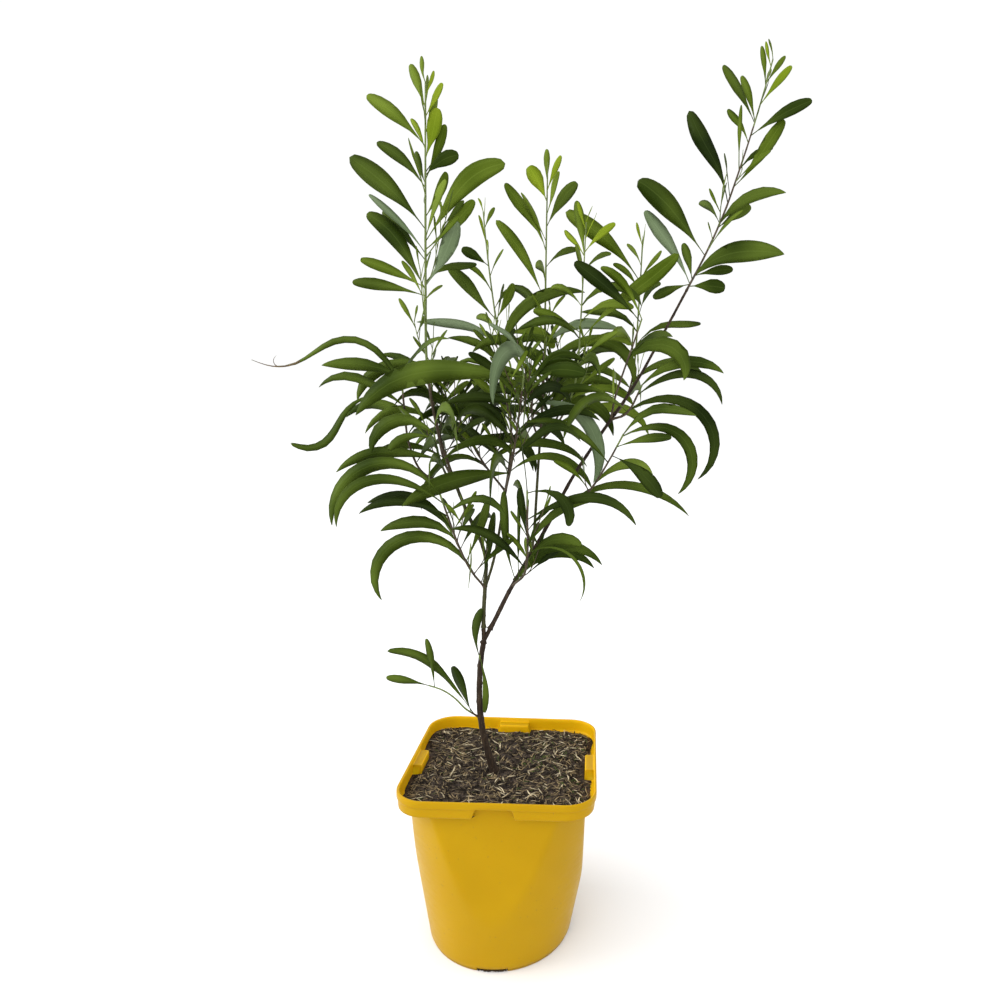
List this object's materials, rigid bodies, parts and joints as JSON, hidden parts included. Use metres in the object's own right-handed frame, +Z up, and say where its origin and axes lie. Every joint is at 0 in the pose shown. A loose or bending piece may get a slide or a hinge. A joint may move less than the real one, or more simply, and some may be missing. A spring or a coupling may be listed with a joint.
{
  "type": "potted shrub",
  "caption": "Young acacia shrub with a forked trunk, upright shoots and arching leaves, standing in a square-topped nursery pot of soil.",
  "frame": {"origin": "centre of the pot's flat underside", "axes": "+Z up along the plant, +X to the right and +Y away from the front face of the pot"},
  "size_m": [0.4639, 0.2673, 0.8188],
  "materials": {
    "pot": "mustard yellow moulded plastic, semi-gloss, a little scuffed",
    "soil": "dark brown potting mix with straw and bark bits, matt",
    "bark": "thin dark brown bark, matt",
    "green_bark": "young green-brown bark, matt",
    "foliage": "leathery green blades, young ones yellow-green, soft sheen"
  },
  "bodies": {
    "root": {"pot": "pot", "soil": "soil", "trunk": "bark", "left_bough": "green_bark", "right_bough": "bark", "left_leader": "green_bark", "centre_bough": "green_bark", "right_leader": "bark", "middle_bough": "green_bark", "right_middle_leader": "bark", "right_upper_leader": "bark", "left_tall_shoot": "foliage", "left_wave_spray": "foliage", "left_arch_spray": "foliage", "left_low_spray": "foliage", "left_back_spray": "foliage", "centre_front_spray": "foliage", "small_back_shoot": "foliage", "centre_back_spray": "foliage", "middle_tall_shoot": "foliage", "second_shoot": "foliage", "middle_front_spray": "foliage", "middle_back_spray": "foliage", "right_foot_spray": "foliage", "right_low_spray": "foliage", "right_arch_spray": "foliage", "right_thin_shoot": "foliage", "right_upper_spray": "foliage", "right_tall_shoot": "foliage", "trunk_left_sprig": "foliage", "trunk_front_sprig": "foliage"}
  },
  "joints": []
}
